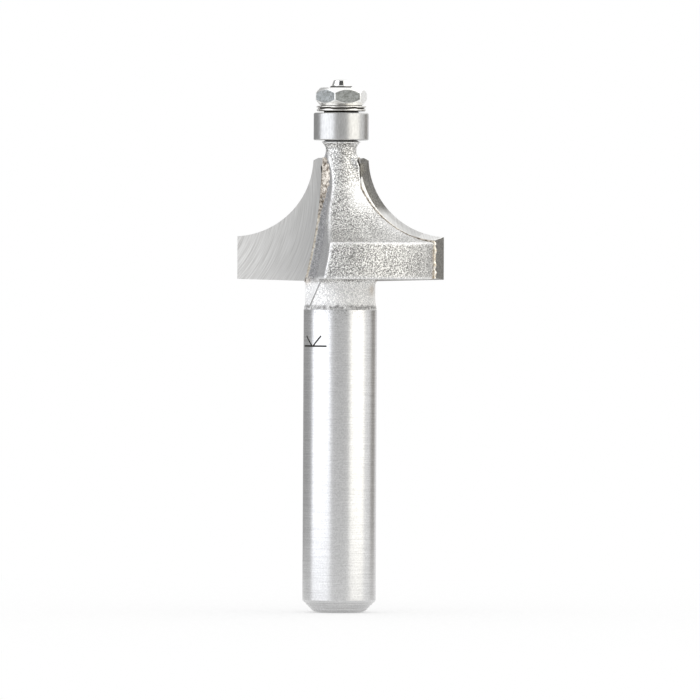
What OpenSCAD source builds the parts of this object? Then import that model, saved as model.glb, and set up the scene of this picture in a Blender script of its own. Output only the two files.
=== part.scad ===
// Two-wing cove router bit with a ball-bearing pilot.
// Millimetres. The bit stands on its shank end at z = 0 and its axis is +Z.
// Wing A points to -X with its cutting face towards -Y. Wing B is wing A turned half round.

/* [Shank] */
// Diameter of the ground shank
shank_d = 6.35; // [5:0.05:8]
// Length of the ground shank, from its end face
shank_len = 26.2; // [20:0.1:40]
// Width of the 45 degree chamfer on the shank end
shank_chamfer = 0.93; // [0.3:0.01:1.5]
// Diameter of the flat that the end face keeps inside its crown
end_flat_d = 3.6; // [2:0.1:4]
// Height of the crown between that flat and the chamfer
end_crown = 0.12; // [0:0.01:0.3]

/* [Head blank] */
// Diameter of the blasted neck below the wings
neck_d = 6.04; // [4.8:0.01:6.2]
// Length of that neck, from the shank up to the underside of the wings
neck_len = 2.65; // [1.6:0.05:6]
// How much wider the neck is at its foot, where the blast has worn it less
neck_taper = 0.08; // [0.02:0.01:0.3]
// Height over which that foot widens to the shank
neck_shoulder = 0.45; // [0.1:0.01:0.6]
// Fillet between neck and wing underside
neck_fillet = 0.6; // [0.2:0.05:1]
// Diameter of the steel wings
wing_d = 16.4; // [14.5:0.1:17]
// Broken edge at the foot of the wings
wing_edge = 0.1; // [0.02:0.01:0.3]
// How far the steel cove lies inside the cutting cove, at its foot and at its throat
cove_setback = 0.52; // [0.3:0.01:0.8]
// How much larger the radius of the steel cove is
cove_extra = 0.37; // [0:0.01:0.8]
// Half angle of the cone between cove and waist
cone_angle = 17.5; // [12:0.5:24]
// Diameter of the waist below the bearing
waist_d = 2.62; // [2.3:0.01:3]
// Radius of the hollow at the waist
waist_fillet = 0.75; // [0.65:0.01:1]
// Diameter of the flange on top of the waist
flange_d = 3.4; // [3.1:0.02:3.8]
// Length from the wing underside to the top of that flange
head_len = 11.87; // [11.5:0.01:12.5]

/* [Cutting tips] */
// Diameter of the circle that the cutting edges sweep
cut_d = 17.86; // [17.4:0.02:18.5]
// Radius of the cove that the edges cut
cove_r = 6.91; // [6.5:0.01:7.2]
// Height of the straight edge below the cove
edge_h = 3.68; // [2:0.02:5]
// Height of a tip, foot to top
tip_h = 10.5; // [9.5:0.05:11]
// Thickness of a tip
tip_t = 1.4; // [1:0.05:2]
// How far the tip hangs below the steel wing
tip_hang = 0.04; // [0:0.01:0.2]
// Slope of the tip's foot, falling towards the axis
foot_slope = 1.5; // [0:0.1:4]
// Width of the corner taken off the top of the tip
tip_corner = 0.42; // [0.1:0.01:0.6]
// Radial relief over the thickness
relief_out = 0.78; // [0.3:0.01:1]
// Relief of cove and top over the thickness
relief_up = 0.28; // [0.1:0.01:0.5]
// Relief of the foot over the thickness
relief_foot = 0.23; // [0.05:0.01:0.4]

/* [Gullets] */
// Radius of the curved inner edge of a tip, about the centre of the gullet cutter
seam_r = 44; // [30:1:60]
// Distance from the axis to that edge, at the height of the cutter's centre
seam_x = 1.63; // [1.5:0.01:1.9]
// Height of the cutter's centre above the wing underside
cutter_h = 11.15; // [10.5:0.05:12]
// Strip of gullet floor between the seat and the cutter's corner
seat_lip = 0.03; // [0.01:0.01:0.1]
// Corner radius of the cutter
cutter_corner = 0.79; // [0.4:0.01:1]
// Side angle of the cutter
cutter_draft = 5.1; // [1:0.1:10]
// Radius of the gullet's upper end
gullet_end_r = 6; // [5:0.1:8]
// Depth below the cutter's centre at which that end begins
gullet_end_drop = 2.6; // [1.5:0.1:4]

/* [Braze] */
// Thickness of the layer behind a tip
braze_seat = 0.1; // [0.04:0.01:0.2]
// Thickness of the layer along the inner edge of a tip
braze_edge = 0.06; // [0.03:0.01:0.1]
// How far the bead in the top corner climbs the gullet wall
bead_climb = 1.4; // [0.9:0.05:1.8]
// How far the bead runs down below the start of the gullet's upper end
bead_drop = 2.3; // [0.5:0.1:6]

/* [Pilot bearing] */
// Outer diameter
pilot_d = 4.7625; // [4.7:0.0125:4.8]
// Bore
pilot_bore = 2.38; // [2.34:0.005:2.42]
// Width
pilot_w = 2.38; // [2.2:0.01:2.6]
// Number of balls
ball_count = 7; // [6:1:7]
// Ball diameter
ball_d = 0.79; // [0.74:0.01:0.82]
// Clearance between a ball and its raceways
ball_play = 0.012; // [0.01:0.002:0.02]
// Depth of a raceway below its shoulder
race_depth = 0.155; // [0.1:0.005:0.17]
// Chamfer on the ring corners
ring_chamfer = 0.12; // [0.05:0.01:0.15]
// Height of the cage
cage_h = 0.82; // [0.7:0.01:0.95]
// How far the cage reaches below the ball centres
cage_lip = 0.2; // [0.1:0.01:0.25]
// Clearance between cage and ring shoulders, and round the balls
cage_play = 0.05; // [0.03:0.005:0.06]
// Thickness of a shield
shield_t = 0.12; // [0.08:0.01:0.16]
// How deep a shield lies below the ring faces
shield_depth = 0.06; // [0.03:0.01:0.1]
// Depth of the step in the outer ring that holds a shield
shield_step = 0.09; // [0.05:0.01:0.1]
// Radial gap between a shield and the inner ring
shield_gap = 0.06; // [0.03:0.01:0.1]

/* [Arbor and fasteners] */
// Height of the land under the inner ring
land_h = 0.11; // [0.05:0.01:0.2]
// Diameter of that land
land_d = 2.84; // [2.7:0.02:3]
// Radial clearance of every part on the arbor
arbor_play = 0.01; // [0.005:0.005:0.02]
// How far the journal stops below the top of the bearing
journal_short = 0.1; // [0.05:0.01:0.3]
// Diameter of the threaded stud
stud_d = 1.96; // [1.8:0.02:2.1]
// Length of the stud above the nut
stud_proud = 0.72; // [0.3:0.02:1.5]
// How much the tapered end of the stud narrows, all round
stud_taper = 0.36; // [0.1:0.01:0.5]
// Length of that tapered end
stud_point = 0.55; // [0.2:0.01:0.7]
// Outer diameter of the spacer washer
spacer_d = 3; // [2.8:0.02:3.06]
// Thickness of the spacer washer
spacer_t = 0.13; // [0.08:0.01:0.3]
// Outer diameter of the lock washer
lock_d = 4.32; // [3.6:0.02:4.6]
// Thickness of the lock washer
lock_t = 0.51; // [0.3:0.01:0.8]
// Width of the slanted split in the lock washer
lock_split = 0.16; // [0.08:0.01:0.3]
// Slant of that split from upright
lock_slant = 35; // [15:1:50]
// Where the split sits round the axis
lock_turn = 196; // [0:1:359]
// Clearance of both washers on the stud
washer_play = 0.06; // [0.03:0.01:0.12]
// Width across the flats of the nut
nut_af = 4; // [3.6:0.05:4.5]
// Height of the nut
nut_h = 1.53; // [1.2:0.01:2]
// Diameter of the round face at each end of the nut
nut_face_d = 3.62; // [3.2:0.02:4]
// How the nut is turned on the stud
nut_turn = 16.2; // [0:0.2:60]

/* [Hidden] */

$fn = 64;
over = 1;          // how far a cutting solid runs past the face that it cuts
corner_steps = 4;  // flats round the corner of the gullet cutter
blank_turn = 120;  // where the turned blank starts and ends, clear of every cut
end_lap = 0.3;     // how far the gullet's upper end reaches back into its long pass

shank_r = shank_d / 2;
pilot_r = pilot_d / 2;
flange_r = flange_d / 2;

// heights along the axis
wing_z = shank_len + neck_len;
tip_z = wing_z - tip_hang;
tip_top_z = tip_z + tip_h;
cutter_z = wing_z + cutter_h;
flange_z = wing_z + head_len;
pilot_z = flange_z + land_h;
pilot_mid_z = pilot_z + pilot_w / 2;
pilot_top_z = pilot_z + pilot_w;
lock_z = pilot_top_z + spacer_t;
nut_z = lock_z + lock_t;
stud_top_z = nut_z + nut_h + stud_proud;

// cutting cove and the steel cove inside it
cove_x = pilot_r + cove_r;
cove_z = tip_z + edge_h + cove_r;
body_cove_r = cove_r + cove_extra;
body_cove_x = pilot_r - cove_setback + body_cove_r;
body_cove_z = cove_z - cove_r - cove_setback + body_cove_r;

// the cone leaves the steel cove and the hollow of the waist as a tangent to both
cone_foot = [body_cove_x - body_cove_r * cos(cone_angle), body_cove_z - body_cove_r * sin(cone_angle)];
cone_head_x = waist_d / 2 + waist_fillet * (1 - cos(cone_angle));
cone_head = [cone_head_x, cone_foot.y + (cone_foot.x - cone_head_x) / tan(cone_angle)];
waist_z = cone_head.y + waist_fillet * sin(cone_angle);

// gullet cutter, seen along its own axis
cutter_x = seam_x + seam_r;
cutter_r = seam_r + braze_edge + seat_lip;
cutter_side_r = cutter_r + cutter_corner * tan((90 - cutter_draft) / 2);
gullet_depth = wing_d / 2 + over;
gullet_reach = cutter_side_r + gullet_depth;
gullet_end_turn = asin(gullet_end_drop / cutter_side_r);
gullet_end_shift = cutter_side_r - gullet_end_r;
gullet_end_z = cutter_z - gullet_end_shift * sin(gullet_end_turn);
bead_turn = 180 / PI * bead_drop / cutter_side_r;
bead_end_turn = asin((tip_top_z - gullet_end_z) / gullet_end_r) + gullet_end_turn;

// bearing
pitch_r = (pilot_d + pilot_bore) / 4;
race_r = ball_d / 2 + ball_play;
inner_shoulder_r = pitch_r - race_r + race_depth;
outer_shoulder_r = pitch_r + race_r - race_depth;
shield_seat_r = outer_shoulder_r + shield_step;
shield_seat_h = shield_depth + shield_t + arbor_play;
journal_r = pilot_bore / 2 - arbor_play;
stud_r = stud_d / 2;

// ground shank, neck, wings and waist as one turned blank
module head_profile() {
  difference() {
    polygon([
      [0, 0], [end_flat_d / 2, 0], [shank_r - shank_chamfer, end_crown], [shank_r, end_crown + shank_chamfer],
      [shank_r, shank_len], [(neck_d + neck_taper) / 2, shank_len + neck_shoulder],
      [neck_d / 2, wing_z - neck_fillet], [neck_d / 2 + neck_fillet, wing_z],
      [wing_d / 2 - wing_edge, wing_z], [wing_d / 2, wing_z + wing_edge],
      [wing_d / 2, cone_foot.y], cone_foot, cone_head, [cone_head.x, waist_z],
      [flange_r, waist_z], [flange_r, flange_z], [0, flange_z]
    ]);
    translate([neck_d / 2 + neck_fillet, wing_z - neck_fillet]) circle(neck_fillet);
    translate([body_cove_x, body_cove_z]) circle(body_cove_r);
    translate([waist_d / 2 + waist_fillet, waist_z]) circle(waist_fillet);
  }
}

module head_blank() {
  rotate([0, 0, blank_turn]) rotate_extrude() head_profile();
}

// land, journal and stud above the flange, rooted in the waist
module arbor() {
  translate([0, 0, flange_z - land_h]) cylinder(h = 2 * land_h, r = land_d / 2);
  translate([0, 0, waist_z]) cylinder(h = pilot_top_z - journal_short - waist_z, r = journal_r);
  translate([0, 0, waist_z]) cylinder(h = stud_top_z - stud_point - waist_z, r = stud_r);
  translate([0, 0, stud_top_z - stud_point])
    cylinder(h = stud_point, r1 = stud_r, r2 = stud_r - stud_taper);
}

// a section turned about an axis along Y, which is how a side-milling cutter works
module turned_on_y(angle = 360, start = 0) {
  rotate([-90, 0, 0]) rotate_extrude(angle = angle, start = start, $fn = 180) children();
}

// points round the cutter's corner, from its flat face to its slanted side
function cutter_chain(face_r) = [
  for (i = [0:corner_steps]) let (a = i * (90 - cutter_draft) / corner_steps)
    [face_r + cutter_corner * sin(a), cutter_corner * (1 - cos(a))]
];

// point on the slanted side at a height above the flat face
function on_side(face_r, height) =
  let (touch = cutter_chain(face_r)[corner_steps])
  [touch.x + (height - touch.y) * tan(cutter_draft), height];

// half section of the cutter
module cutter_profile(face_r) {
  polygon(concat([[0, 0]], cutter_chain(face_r), [on_side(face_r, gullet_depth), [0, gullet_depth]]));
}

// frame of the cutter, tilted so that its x axis meets the start of the gullet's upper end
module at_cutter() {
  translate([cutter_x, 0, cutter_z]) rotate([0, -gullet_end_turn, 0]) children();
}

module at_gullet_end() {
  at_cutter() translate([-gullet_end_shift, 0, 0]) children();
}

// gullet B below its upper end: one long pass of the cutter
module gullet_pass() {
  at_cutter() intersection() {
    turned_on_y() cutter_profile(cutter_r);
    translate([-gullet_reach, -over, -gullet_reach])
      cube([gullet_reach, gullet_depth + 2 * over, gullet_reach]);
  }
}

// rounded upper end of gullet B, which leaves the flange whole
module gullet_end() {
  at_gullet_end() intersection() {
    turned_on_y() cutter_profile(cutter_r - gullet_end_shift);
    translate([-gullet_reach, -over, -end_lap])
      cube([gullet_reach, gullet_depth + 2 * over, gullet_reach]);
  }
}

// disc about the cutter's centre that bounds tip B and its seat, from y = -depth to y = 0
module seat_disc(depth, grow) {
  translate([cutter_x, 0, cutter_z]) rotate([90, 0, 0]) cylinder(h = depth, r = seam_r + grow, $fn = 360);
}

// everything below the top of a seat
module below_seat_top(depth) {
  translate([0, -depth, tip_z - neck_len])
    cube([cut_d / 2 + over, depth + over, tip_h + neck_len + braze_seat]);
}

module seat() {
  intersection() {
    translate([0, over, 0]) seat_disc(tip_t + braze_seat + over, braze_edge);
    below_seat_top(tip_t + braze_seat);
  }
}

// cutting outline of tip B in the plane of its cutting face
module tip_outline() {
  difference() {
    polygon([
      [seam_x - over, tip_z - over], [cut_d / 2, tip_z - over], [cut_d / 2, cove_z],
      [pilot_r, tip_top_z - tip_corner / 2], [pilot_r - tip_corner, tip_top_z], [seam_x - over, tip_top_z]
    ]);
    translate([cove_x, cove_z]) circle(cove_r, $fn = 240);
  }
}

// tip B: its outline leans back over the thickness, which is its relief
module tip() {
  difference() {
    intersection() {
      multmatrix([[1, relief_out / tip_t, 0, 0], [0, 1, 0, 0], [0, relief_up / tip_t, 1, 0], [0, 0, 0, 1]])
        rotate([90, 0, 0]) linear_extrude(tip_t) tip_outline();
      translate([0, over, 0]) seat_disc(tip_t + 2 * over, 0);
    }
    translate([cut_d / 2, 0, tip_z]) rotate([-atan(relief_foot / tip_t), -foot_slope, 0])
      translate([-cut_d, -tip_t - 2 * over, -tip_h]) cube([cut_d + over, tip_t + 3 * over, tip_h]);
  }
}

// braze under tip B: the layer on the seat, the layer along the inner edge and the bead in the top corner
module braze() {
  intersection() {
    head_blank();
    below_seat_top(tip_t + braze_seat);
    union() {
      translate([0, -tip_t, 0]) seat_disc(braze_seat, braze_edge);
      difference() {
        seat_disc(tip_t, braze_edge);
        translate([0, over, 0]) seat_disc(tip_t + 2 * over, 0);
      }
    }
  }
  bead();
}

// section of the bead: the cutter's corner, filled up to a straight front
module bead_section(face_r) {
  polygon(concat([[face_r - braze_edge - seat_lip, 0]], cutter_chain(face_r), [on_side(face_r, bead_climb)]));
}

module bead() {
  intersection() {
    head_blank();
    union() {
      at_cutter() turned_on_y(bead_turn, 180 - bead_turn) bead_section(cutter_r);
      at_gullet_end() turned_on_y(bead_end_turn, 180) bead_section(cutter_r - gullet_end_shift);
    }
  }
}

// one of the two wings: 0 is wing A, 1 is wing B
module at_wing(i) {
  rotate([0, 0, 180 * (1 - i)]) children();
}

module cutter_body() {
  color("#b9bbbd") {
    difference() {
      head_blank();
      for (i = [0, 1]) at_wing(i) {
        gullet_pass();
        gullet_end();
        seat();
      }
    }
    arbor();
  }
}

module carbide_tip(i) {
  color("#8f9090") at_wing(i) tip();
}

module braze_joint(i) {
  color("#b7a288") at_wing(i) braze();
}

// ring section with both corners broken on its outer side
module ring_block(r_in, r_out, chamfer_in, chamfer_out) {
  half = pilot_w / 2;
  polygon([
    [r_in + chamfer_in, -half], [r_out - chamfer_out, -half], [r_out, chamfer_out - half],
    [r_out, half - chamfer_out], [r_out - chamfer_out, half], [r_in + chamfer_in, half],
    [r_in, half - chamfer_in], [r_in, chamfer_in - half]
  ]);
}

module bearing_inner_ring() {
  color("#c9cacc") translate([0, 0, pilot_mid_z]) rotate_extrude() difference() {
    ring_block(pilot_bore / 2, inner_shoulder_r, ring_chamfer / 2, 0.01);
    translate([pitch_r, 0]) circle(race_r);
  }
}

module bearing_outer_ring() {
  color("#c9cacc") translate([0, 0, pilot_mid_z]) rotate_extrude() difference() {
    ring_block(outer_shoulder_r, pilot_r, 0, ring_chamfer);
    translate([pitch_r, 0]) circle(race_r);
    for (side = [-1, 1])
      translate([outer_shoulder_r - over, side * (pilot_w / 2 - shield_seat_h / 2) - shield_seat_h / 2])
        square([shield_seat_r - outer_shoulder_r + over, shield_seat_h]);
  }
}

module at_ball(i) {
  rotate([0, 0, 360 * (i - 1) / ball_count]) translate([pitch_r, 0, pilot_mid_z]) children();
}

module bearing_cage() {
  color("#a8782f") difference() {
    translate([0, 0, pilot_mid_z - cage_lip]) difference() {
      cylinder(h = cage_h, r = outer_shoulder_r - cage_play);
      translate([0, 0, -over]) cylinder(h = cage_h + 2 * over, r = inner_shoulder_r + cage_play);
    }
    for (i = [1:ball_count]) at_ball(i) sphere(ball_d / 2 + cage_play);
  }
}

module bearing_ball(i) {
  color("#dddddf") at_ball(i) sphere(ball_d / 2);
}

// shield clipped into the outer ring, at the top for side 1 and at the bottom for side -1
module bearing_shield(side) {
  middle = pilot_w / 2 - shield_depth - shield_t / 2;
  color("#b4b5b7") translate([0, 0, pilot_mid_z + side * middle - shield_t / 2]) difference() {
    cylinder(h = shield_t, r = shield_seat_r - arbor_play);
    translate([0, 0, -over]) cylinder(h = shield_t + 2 * over, r = inner_shoulder_r + shield_gap);
  }
}

module washer(outer_d, thickness) {
  difference() {
    cylinder(h = thickness, r = outer_d / 2);
    translate([0, 0, -over]) cylinder(h = thickness + 2 * over, r = stud_r + washer_play);
  }
}

module spacer_washer() {
  color("#77787a") translate([0, 0, pilot_top_z]) washer(spacer_d, spacer_t);
}

module lock_washer() {
  color("#9a9b9d") translate([0, 0, lock_z]) difference() {
    washer(lock_d, lock_t);
    rotate([0, 0, lock_turn]) translate([0, 0, lock_t / 2]) rotate([lock_slant, 0, 0])
      translate([0, -lock_split / 2, -lock_d / 2]) cube([lock_d, lock_split, lock_d]);
  }
}

module hex_nut() {
  face_r = nut_face_d / 2;
  corner_r = nut_af / sqrt(3);
  color("#a9adb2") translate([0, 0, nut_z]) difference() {
    intersection() {
      rotate([0, 0, nut_turn]) cylinder(h = nut_h, r = corner_r, $fn = 6);
      rotate_extrude() polygon([
        [0, 0], [face_r, 0], [face_r + nut_h / 2, nut_h / 2], [face_r, nut_h], [0, nut_h]
      ]);
    }
    translate([0, 0, -over]) cylinder(h = nut_h + 2 * over, r = stud_r + arbor_play);
  }
}

cutter_body();
carbide_tip(0);  // carbide_tip_a
carbide_tip(1);  // carbide_tip_b
braze_joint(0);  // braze_a
braze_joint(1);  // braze_b
bearing_inner_ring();
bearing_outer_ring();
bearing_cage();
bearing_shield(1);  // bearing_shield_top
bearing_shield(-1);  // bearing_shield_bottom
spacer_washer();
lock_washer();
hex_nut();
for (i = [1:ball_count])
  bearing_ball(i);
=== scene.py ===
# Cove router bit: the looks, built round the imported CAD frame
import math
from contextlib import contextmanager
import bpy
import bmesh
import numpy as np
from mathutils import Matrix, Vector


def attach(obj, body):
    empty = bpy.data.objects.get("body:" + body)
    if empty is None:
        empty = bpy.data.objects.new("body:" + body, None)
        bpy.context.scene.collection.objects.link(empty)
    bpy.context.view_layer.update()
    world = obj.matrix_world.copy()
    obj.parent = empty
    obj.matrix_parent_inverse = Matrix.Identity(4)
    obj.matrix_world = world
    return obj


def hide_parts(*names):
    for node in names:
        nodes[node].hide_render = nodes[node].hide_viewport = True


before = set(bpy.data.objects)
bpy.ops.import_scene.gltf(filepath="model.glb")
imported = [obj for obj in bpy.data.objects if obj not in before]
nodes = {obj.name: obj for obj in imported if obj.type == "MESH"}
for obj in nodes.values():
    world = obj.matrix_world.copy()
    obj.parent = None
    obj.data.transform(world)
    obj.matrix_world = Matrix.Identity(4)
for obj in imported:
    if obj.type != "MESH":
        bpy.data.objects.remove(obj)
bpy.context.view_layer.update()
mm = 0.001
print("frame loaded:", len(nodes), "nodes")


def linearColor(hexCode):  # sRGB hex to the linear values that a shader takes
    parts = [int(hexCode[i:i + 2], 16) / 255 for i in (1, 3, 5)]
    return [p / 12.92 if p <= 0.04045 else ((p + 0.055) / 1.055) ** 2.4 for p in parts] + [1.0]


def tones(dark, pale):  # settings of a mix from one colour to another
    return {"data_type": "RGBA", 6: linearColor(dark), 7: linearColor(pale)}


def feed(tree, node, links):  # links name an input of the node and the output that feeds it
    for key, source in links.items():
        tree.links.new(source, node.inputs[key])


def addNode(tree, kind, settings=None, links=None):
    node = tree.nodes.new("ShaderNode" + kind)
    for key, value in (settings or {}).items():  # inputs by name or number, or else the node's own settings
        if isinstance(key, int) or key in node.inputs:
            node.inputs[key].default_value = value
        else:
            setattr(node, key, value)
    feed(tree, node, links or {})
    return node


def emptyTree(owner):
    owner.use_nodes = True
    owner.node_tree.nodes.clear()
    return owner.node_tree


def newMetal(name, settings):
    material = bpy.data.materials.new(name)
    tree = emptyTree(material)
    shader = addNode(tree, "BsdfPrincipled", {"Metallic": 1.0, **settings})
    addNode(tree, "OutputMaterial", links={"Surface": shader.outputs[0]})
    place = addNode(tree, "TexCoord").outputs["Object"]
    return material, tree, shader, place


def noise(size, detail):  # settings of a noise whose features measure this many millimetres
    return {"Scale": 1 / (size * mm), "Detail": detail}


# Steel blasted with coarse grit: dull, grey, and sparkling where a crater's wall faces a lamp
def blastedSteel():
    look = dict(dark="#767573", pale="#fffefb", greyAndShade="#838385", wearAndHighlight="#ffffff", darkSpecksAndShade="#4c4a47",
                stain="#b39a78", grit=0.108, gritDepth=0.05, contrast=5.8, level=0.43, cloud=1.7,
                cloudShare=0.6, smooth=0.36, rough=0.5, dullRough=0.35)
    material, tree, shader, place = newMetal("blastedSteel", {})
    grit = addNode(tree, "TexNoise", {**noise(look["grit"], 2.5), "Roughness": 0.65},
                   {"Vector": place})
    cloud = addNode(tree, "TexNoise", noise(look["cloud"], 3.0), {"Vector": place})
    # speckle = contrast * (grit - 1/2) + cloudShare * (cloud - 1/2) + level
    offset = look["level"] - look["contrast"] / 2 - look["cloudShare"] / 2
    patches = addNode(tree, "Math", {"operation": "MULTIPLY_ADD", 1: look["cloudShare"], 2: offset},
                      {0: cloud.outputs[0]})
    speckle = addNode(tree, "Math", {"operation": "MULTIPLY_ADD", 1: look["contrast"], "use_clamp": True},
                      {0: grit.outputs[0], 2: patches.outputs[0]})
    color = addNode(tree, "Mix", tones(look["dark"], look["pale"]), {0: speckle.outputs[0]})
    # over it the gullet, milled, in a grey that is partly painted shade of its deep corner, so that the grit
    # shows less there, then worn edges and painted highlights, dark specks and painted shade in the crease,
    # and flux stain
    for mark in ("greyAndShade", "wearAndHighlight", "darkSpecksAndShade", "stain"):
        share = addNode(tree, "Attribute", {"attribute_name": mark})
        color = addNode(tree, "Mix", {"data_type": "RGBA", 7: linearColor(look[mark])},
                        {0: share.outputs["Fac"], 6: color.outputs[2]})
    rough = addNode(tree, "MapRange", {"To Min": look["smooth"], "To Max": look["rough"]},
                    {"Value": grit.outputs[0]})
    dull = addNode(tree, "Attribute", {"attribute_name": "dull"})
    rough = addNode(tree, "Math", {"operation": "MULTIPLY_ADD", 1: look["dullRough"]},
                    {0: dull.outputs["Fac"], 2: rough.outputs[0]})
    craters = addNode(tree, "Bump", {"Strength": 1.0, "Distance": look["gritDepth"] * mm},
                      {"Height": grit.outputs[0]})
    feed(tree, shader, {"Base Color": color.outputs[2], "Roughness": rough.outputs[0],
                        "Normal": craters.outputs[0]})
    return material


# Centreless-ground shank: bright, with fine rings left by the wheel and stray grit marks near the neck
def groundSteel():
    look = dict(dark="#bfbfbf", pale="#dfdfdf", spread={"From Min": 0.35, "From Max": 0.65}, ring=0.06,
                ringStretch=0.02, grain=0.12, grainShare=0.5, ringDepth=0.001, roughness=0.28,
                stray="#9d9d9c", straySize=0.11, strayGain=5.0, strayFrom=(23.6, -3.5), strayTo=(26.3, -2.45))
    material, tree, shader, place = newMetal("groundSteel", {"Roughness": look["roughness"]})
    # the rings' noise is drawn out across the axis, so that it changes mostly along the axis
    flat = addNode(tree, "Mapping", {"Scale": (look["ringStretch"], look["ringStretch"], 1.0)},
                   {"Vector": place})
    rings = addNode(tree, "TexNoise", noise(look["ring"], 2.0),
                    {"Vector": flat.outputs[0]})
    grain = addNode(tree, "TexNoise", noise(look["grain"], 2.0), {"Vector": place})
    both = addNode(tree, "Mix", {0: look["grainShare"]}, {2: rings.outputs[0], 3: grain.outputs[0]})
    spread = addNode(tree, "MapRange", look["spread"], {"Value": both.outputs[0]})
    color = addNode(tree, "Mix", tones(look["dark"], look["pale"]), {0: spread.outputs[0]})
    # stray grit: specks of a noise above a level that rises with the distance from the neck
    height = addNode(tree, "SeparateXYZ", links={0: place})
    (low, atLow), (high, atHigh) = look["strayFrom"], look["strayTo"]
    near = addNode(tree, "MapRange", {"From Min": low * mm, "From Max": high * mm, "To Min": atLow,
                                                "To Max": atHigh}, {"Value": height.outputs[2]})
    specks = addNode(tree, "TexNoise", noise(look["straySize"], 2.0),
                     {"Vector": place})
    marks = addNode(tree, "Math", {"operation": "MULTIPLY_ADD", 1: look["strayGain"], "use_clamp": True},
                    {0: specks.outputs[0], 2: near.outputs[0]})
    color = addNode(tree, "Mix", {"data_type": "RGBA", 7: linearColor(look["stray"])},
                    {0: marks.outputs[0], 6: color.outputs[2]})
    grooves = addNode(tree, "Bump", {"Strength": 1.0, "Distance": look["ringDepth"] * mm},
                      {"Height": rings.outputs[0]})
    feed(tree, shader, {"Base Color": color.outputs[2], "Normal": grooves.outputs[0]})
    return material


# Sintered carbide, ground with a diamond cup wheel: smooth grey with close lines that curve about one centre
def groundCarbide():
    look = dict(dark="#d0cfcd", pale="#fafaf9", spread={"From Min": 0.3, "From Max": 0.7}, line=0.1,
                lineDepth=0.002, drift=0.03, centre=(16.6, 36.0), roughness=0.42, seamShade="#b9b9b8",
                seam=1.6, edge=8.0, seamShadeShare=0.55, flankDark="#42403b", flankPale="#85837d", grain=0.11,
                flankSpread={"From Min": 0.35, "From Max": 0.65})
    material, tree, shader, place = newMetal("groundCarbide", {"Roughness": look["roughness"]})
    spot = addNode(tree, "SeparateXYZ", links={0: place})
    across = addNode(tree, "Math", {"operation": "ABSOLUTE"}, {0: spot.outputs[0]})  # both tips alike
    side = addNode(tree, "Math", {"operation": "SUBTRACT", 1: look["centre"][0] * mm},
                   {0: across.outputs[0]})
    rise = addNode(tree, "Math", {"operation": "SUBTRACT", 1: look["centre"][1] * mm},
                   {0: spot.outputs[2]})
    arm = addNode(tree, "CombineXYZ", links={0: side.outputs[0], 1: rise.outputs[0]})
    reach = addNode(tree, "VectorMath", {"operation": "LENGTH"}, {0: arm.outputs[0]})
    # lines: a noise of the distance from the centre, which drifts slowly with the height
    slow = addNode(tree, "Math", {"operation": "MULTIPLY", 1: look["drift"]}, {0: rise.outputs[0]})
    lay = addNode(tree, "CombineXYZ", links={0: reach.outputs["Value"], 1: slow.outputs[0]})
    lines = addNode(tree, "TexNoise", {**noise(look["line"], 3.0), "Roughness": 0.6},
                    {"Vector": lay.outputs[0]})
    spread = addNode(tree, "MapRange", look["spread"], {"Value": lines.outputs[0]})
    color = addNode(tree, "Mix", tones(look["dark"], look["pale"]), {0: spread.outputs[0]})
    # painted shade: the rake face darker towards its inner edge, beside the gullet wall
    tint = addNode(tree, "MapRange", {"From Min": look["seam"] * mm, "From Max": look["edge"] * mm,
                                                "To Min": look["seamShadeShare"], "To Max": 0.0},
                   {"Value": across.outputs[0]})
    rake = addNode(tree, "Mix", {"data_type": "RGBA", 7: linearColor(look["seamShade"])},
                   {0: tint.outputs[0], 6: color.outputs[2]})
    # flank: grainy and without the lines, and darker by a painted shade that the tip's flank attribute sets
    # from how far each face looks up
    flank = addNode(tree, "Attribute", {"attribute_name": "flank"})
    grain = addNode(tree, "TexNoise", noise(look["grain"], 2.0), {"Vector": place})
    spread = addNode(tree, "MapRange", look["flankSpread"], {"Value": grain.outputs[0]})
    matt = addNode(tree, "Mix", tones(look["flankDark"], look["flankPale"]), {0: spread.outputs[0]})
    ground = addNode(tree, "Mix", {"data_type": "RGBA"},
                     {0: flank.outputs["Fac"], 6: rake.outputs[2], 7: matt.outputs[2]})
    grooves = addNode(tree, "Bump", {"Strength": 1.0, "Distance": look["lineDepth"] * mm},
                      {"Height": lines.outputs[0]})
    feed(tree, shader, {"Base Color": ground.outputs[2], "Normal": grooves.outputs[0]})
    return material


# Silver solder left as it froze: tan, lumpy and glinting, with brown flux stain
def silverBraze(name, tones, lumpDepth):  # tones from stain to bright metal
    look = dict(stops=(0.3, 0.45, 0.6), blotch=0.26, lump=0.15, roughness=0.36)
    material, tree, shader, place = newMetal(name, {"Roughness": look["roughness"]})
    blotch = addNode(tree, "TexNoise", noise(look["blotch"], 3.0), {"Vector": place})
    ramp = addNode(tree, "ValToRGB", links={0: blotch.outputs[0]})
    ramp.color_ramp.elements.new(look["stops"][-1])
    for stop, spot, tone in zip(ramp.color_ramp.elements, look["stops"], tones):
        stop.position, stop.color = spot, linearColor(tone)
    lumps = addNode(tree, "TexNoise", noise(look["lump"], 1.0), {"Vector": place})
    swell = addNode(tree, "Bump", {"Strength": 1.0, "Distance": lumpDepth * mm},
                    {"Height": lumps.outputs[0]})
    feed(tree, shader, {"Base Color": ramp.outputs[0], "Normal": swell.outputs[0]})
    return material


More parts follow.
